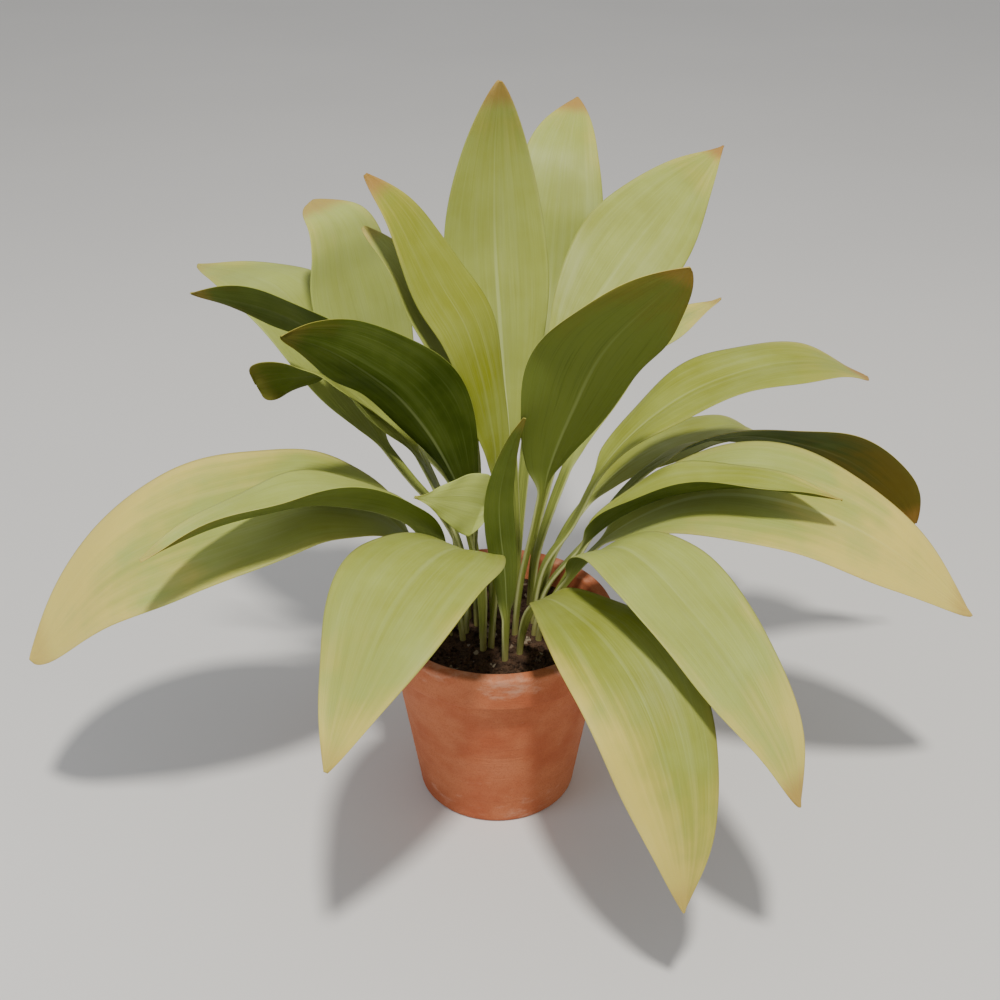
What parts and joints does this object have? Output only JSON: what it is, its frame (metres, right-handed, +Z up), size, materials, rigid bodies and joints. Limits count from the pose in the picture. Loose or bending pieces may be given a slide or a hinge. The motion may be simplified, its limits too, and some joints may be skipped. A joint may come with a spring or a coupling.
{
  "type": "potted haran plant",
  "caption": "Potted haran (cast iron plant): a clump of long arching strap leaves on slender stalks in a plain clay pot of soil.",
  "frame": {"origin": "centre of the pot's flat foot, on the surface it stands on", "axes": "+Z up along the pot's axis, -Y towards the front of the plant as pictured, +X to its right"},
  "size_m": [0.8107, 0.5532, 0.6326],
  "materials": {
    "terracotta": "matte",
    "potting_soil": "matte",
    "leaf_green": "satin"
  },
  "bodies": {
    "root": {"pot": "terracotta", "soil": "potting_soil", "leaf_01": "leaf_green", "leaf_02": "leaf_green", "leaf_03": "leaf_green", "leaf_04": "leaf_green", "leaf_05": "leaf_green", "leaf_06": "leaf_green", "leaf_07": "leaf_green", "leaf_08": "leaf_green", "leaf_09": "leaf_green", "leaf_10": "leaf_green", "leaf_11": "leaf_green", "leaf_12": "leaf_green", "leaf_13": "leaf_green", "leaf_14": "leaf_green", "leaf_15": "leaf_green", "leaf_16": "leaf_green", "leaf_17": "leaf_green", "leaf_18": "leaf_green", "leaf_19": "leaf_green", "leaf_20": "leaf_green", "leaf_21": "leaf_green", "leaf_22": "leaf_green", "leaf_23": "leaf_green", "leaf_24": "leaf_green"}
  },
  "joints": []
}
